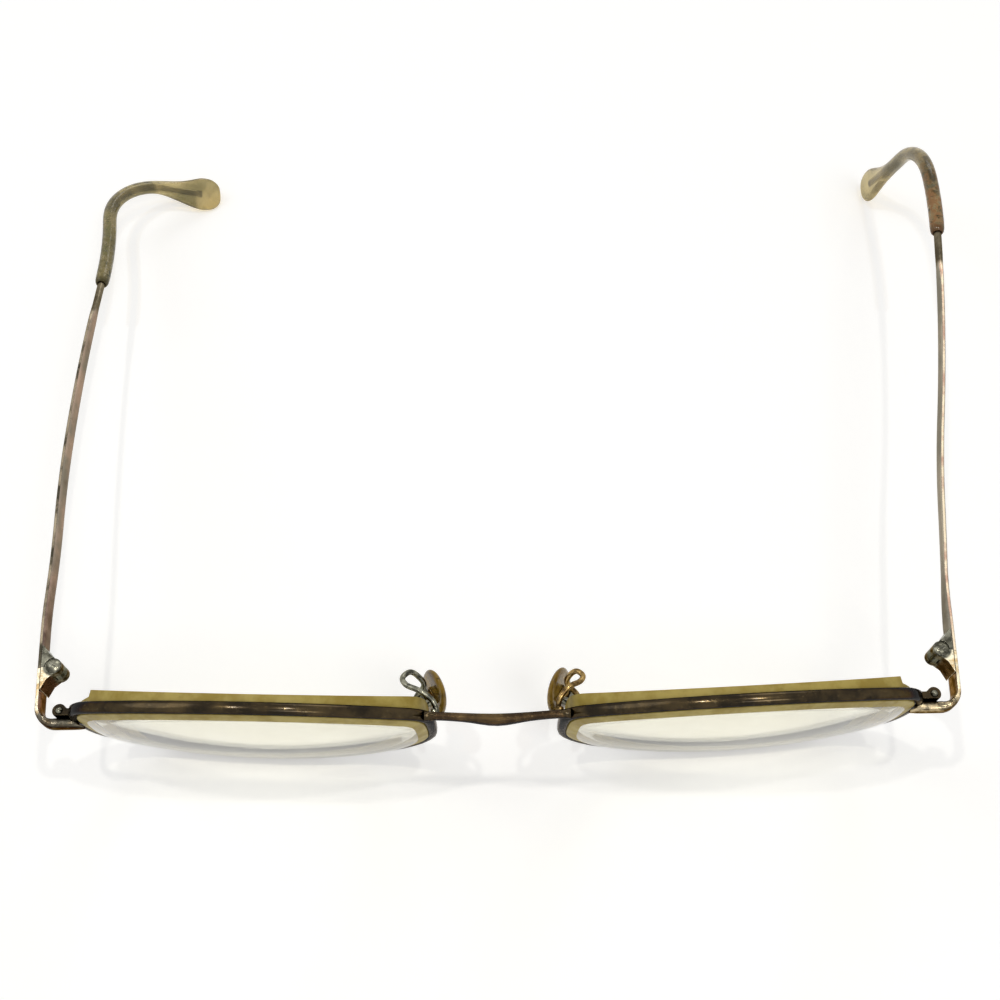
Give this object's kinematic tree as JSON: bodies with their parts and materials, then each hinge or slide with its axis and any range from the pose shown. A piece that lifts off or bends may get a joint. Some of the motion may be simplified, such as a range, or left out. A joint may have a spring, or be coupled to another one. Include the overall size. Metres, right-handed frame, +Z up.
{
  "type": "rimmed spectacles with folding temples",
  "caption": "Metal rimmed spectacles with thick clear lenses, folding flat temples with plastic ear tips, rim locks and rocking nose pads on looped wire arms.",
  "frame": {"origin": "middle of the part's box in X and Y, on the table plane where the lower rims and the ends of the ear tips rest", "axes": "+X from the left lens to the right lens as seen from the front, +Y from the front back along the temples, +Z up"},
  "size_m": [0.1568, 0.1257, 0.0401],
  "materials": {
    "bronze_wire": "dark bronze plating on rim wire and bridge, polished on the crowns, worn",
    "worn_gold": "thin gold plate rubbed through to grey and brown at the corners",
    "rose_metal": "rose gold plate worn to grey along the edges",
    "nickel": "tarnished nickel silver, grey green",
    "lens_glass": "clear ophthalmic glass, polished faces, fine ground edge",
    "celluloid": "aged clear plastic, yellowed and stained, satin",
    "amber_pad": "yellowed clear plastic, satin"
  },
  "bodies": {
    "front": {"bridge": "bronze_wire", "left_rim": "bronze_wire", "left_lens": "lens_glass", "left_upper_lock": "bronze_wire", "left_lower_lock": "bronze_wire", "left_lock_screw": "nickel", "left_end_piece": "worn_gold", "left_front_leaf": "worn_gold", "left_hinge_screw": "nickel", "left_pad_arm": "nickel", "left_pad_box": "nickel", "left_pad_screw": "nickel", "right_rim": "bronze_wire", "right_lens": "lens_glass", "right_upper_lock": "bronze_wire", "right_lower_lock": "bronze_wire", "right_lock_screw": "nickel", "right_end_piece": "worn_gold", "right_front_leaf": "worn_gold", "right_hinge_screw": "nickel", "right_pad_arm": "nickel", "right_pad_box": "nickel", "right_pad_screw": "nickel"},
    "left_temple_arm": {"left_temple": "rose_metal", "left_temple_leaf": "nickel", "left_ear_tip": "celluloid"},
    "right_temple_arm": {"right_temple": "rose_metal", "right_temple_leaf": "nickel", "right_ear_tip": "celluloid"},
    "left_pad": {"left_nose_pad": "amber_pad", "left_pad_insert": "nickel"},
    "right_pad": {"right_nose_pad": "amber_pad", "right_pad_insert": "nickel"}
  },
  "joints": [
    {"name": "left_temple_fold", "type": "hinge", "parent": "front", "child": "left_temple_arm", "pos_m": [-0.06989, -0.04953, 0.0237], "axis": [0, 0, -1], "range_deg": [0, 84]},
    {"name": "right_temple_fold", "type": "hinge", "parent": "front", "child": "right_temple_arm", "pos_m": [0.0623, -0.04968, 0.0252], "axis": [0, 0, 1], "range_deg": [0, 92]},
    {"name": "left_pad_rock", "type": "hinge", "parent": "front", "child": "left_pad", "pos_m": [-0.01457, -0.05326, 0.01921], "axis": [-0.454, 0.891, 0], "range_deg": [-7, 7]},
    {"name": "right_pad_rock", "type": "hinge", "parent": "front", "child": "right_pad", "pos_m": [0.00672, -0.05326, 0.01921], "axis": [0.454, 0.891, 0], "range_deg": [-7, 7]}
  ]
}
